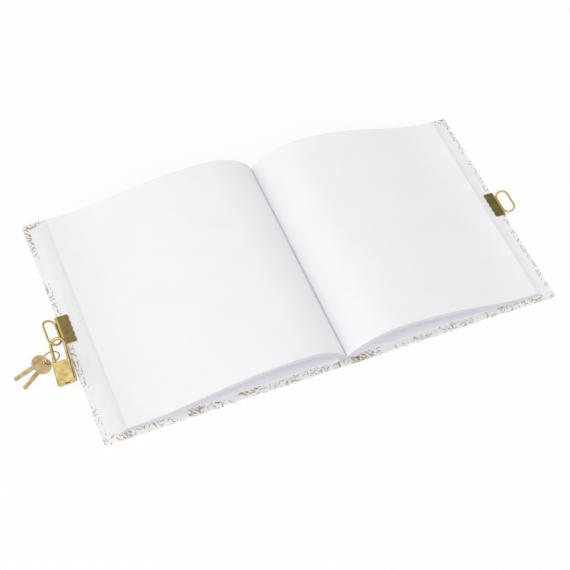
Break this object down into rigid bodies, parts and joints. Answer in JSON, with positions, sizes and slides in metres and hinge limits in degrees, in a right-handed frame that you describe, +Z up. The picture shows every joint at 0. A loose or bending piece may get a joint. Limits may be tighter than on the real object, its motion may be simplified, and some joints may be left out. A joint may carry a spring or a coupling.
{
  "type": "diary with lock",
  "caption": "Square case-bound diary lying open, with a metal clip and loop on each fore-edge, a small padlock hooked on one loop and flat keys on a wire ring.",
  "frame": {"origin": "middle of the spine's underside, on the plane the open diary rests on", "axes": "+X from the spine to the back cover on the right, +Y from the tail of the book to its head, +Z up"},
  "size_m": [0.3812, 0.1686, 0.0275],
  "materials": {
    "binder_board": "matt grey board",
    "printed_cover": "matt paper printed with a small pattern",
    "endpaper": "matt white paper",
    "page_paper": "matt white paper",
    "lining_cloth": "open woven cotton",
    "clip_metal": "plated, satin",
    "lock_brass": "polished",
    "key_metal": "dull",
    "spring_steel": "bright"
  },
  "bodies": {
    "spine": {"spine_board": "binder_board", "spine_paper": "printed_cover", "spine_lining": "lining_cloth", "front_joint": "printed_cover", "back_joint": "printed_cover", "front_inner_hinge": "endpaper", "back_inner_hinge": "endpaper"},
    "front_cover": {"front_board": "binder_board", "front_cover_paper": "printed_cover", "front_pastedown": "endpaper", "front_clip": "clip_metal", "front_loop": "clip_metal"},
    "back_cover": {"back_board": "binder_board", "back_cover_paper": "printed_cover", "back_pastedown": "endpaper", "back_clip": "clip_metal", "back_loop": "clip_metal"},
    "front_pages": {"front_flyleaf": "endpaper", "front_section_1": "page_paper", "front_section_2": "page_paper", "front_section_3": "page_paper"},
    "back_pages": {"back_flyleaf": "endpaper", "back_section_1": "page_paper", "back_section_2": "page_paper", "back_section_3": "page_paper"},
    "top_leaf": {"top_leaf": "page_paper"},
    "shackle": {"shackle": "lock_brass"},
    "lock_case": {"lock_body": "lock_brass", "base_plate": "lock_brass", "retaining_pin": "spring_steel", "shackle_spring": "spring_steel", "latch_spring": "spring_steel"},
    "key_plug": {"key_plug": "lock_brass"},
    "latch": {"latch": "lock_brass"},
    "key_ring": {"key_ring": "key_metal"},
    "key_1": {"key_1": "key_metal"},
    "key_2": {"key_2": "key_metal"}
  },
  "joints": [
    {"name": "front_cover_hinge", "type": "hinge", "parent": "spine", "child": "front_cover", "pos_m": [-0.00705, 0, 0.0009], "axis": [0, 1, 0], "range_deg": [0, 90], "deforming": ["front_joint", "front_inner_hinge"]},
    {"name": "front_pages_hinge", "type": "hinge", "parent": "spine", "child": "front_pages", "pos_m": [-0.0026, 0, 0.0047], "axis": [0, 1, 0], "range_deg": [0, 90], "deforming": ["front_flyleaf", "front_section_1", "front_section_2", "front_section_3"]},
    {"name": "back_cover_hinge", "type": "hinge", "parent": "spine", "child": "back_cover", "pos_m": [0.00705, 0, 0.0009], "axis": [0, -1, 0], "range_deg": [0, 90], "deforming": ["back_joint", "back_inner_hinge"]},
    {"name": "back_pages_hinge", "type": "hinge", "parent": "spine", "child": "back_pages", "pos_m": [0.0026, 0, 0.0047], "axis": [0, -1, 0], "range_deg": [0, 90], "deforming": ["back_flyleaf", "back_section_1", "back_section_2", "back_section_3", "top_leaf"]},
    {"name": "leaf_turn", "type": "hinge", "parent": "back_pages", "child": "top_leaf", "pos_m": [0.0006, 0, 0.0095], "axis": [0, 1, 0], "range_deg": [-55, 0]},
    {"name": "shackle_swing", "type": "hinge", "parent": "front_cover", "child": "shackle", "pos_m": [-0.1719, -0.01052, 0.00384], "axis": [0.2754, -0.0407, -0.9605], "range_deg": [-35, 0]},
    {"name": "lock_slide", "type": "slide", "parent": "shackle", "child": "lock_case", "axis": [-0.0924, -0.9956, 0.0157], "range_m": [0, 0.004], "deforming": ["shackle_spring"]},
    {"name": "plug_turn", "type": "hinge", "parent": "lock_case", "child": "key_plug", "pos_m": [-0.1719, -0.01052, 0.00384], "axis": [0.0924, 0.9956, -0.0157], "range_deg": [0, 90]},
    {"name": "latch_slide", "type": "slide", "parent": "lock_case", "child": "latch", "axis": [0.9569, -0.0844, 0.278], "range_m": [0, 0.0009], "deforming": ["latch_spring"]},
    {"name": "ring_swing", "type": "hinge", "parent": "shackle", "child": "key_ring", "pos_m": [-0.17679, -0.01641, 0.00269], "axis": [0.0924, 0.9956, -0.0157], "range_deg": [0, 25]},
    {"name": "key_1_swing", "type": "hinge", "parent": "key_ring", "child": "key_1", "pos_m": [-0.18251, -0.01979, 0.00326], "axis": [0.0174, -0.239, 0.9709], "range_deg": [-30, 0]},
    {"name": "key_2_swing", "type": "hinge", "parent": "key_ring", "child": "key_2", "pos_m": [-0.18335, -0.0175, 0.00212], "axis": [-0.0012, -0.2178, 0.976], "range_deg": [-30, 0]}
  ],
  "couplings": [
    {"joint": "front_pages_hinge", "follows": "front_cover_hinge", "ratio": 1},
    {"joint": "back_pages_hinge", "follows": "back_cover_hinge", "ratio": 1},
    {"joint": "plug_turn", "follows": "latch_slide", "rad_per_m": 1745.3}
  ]
}
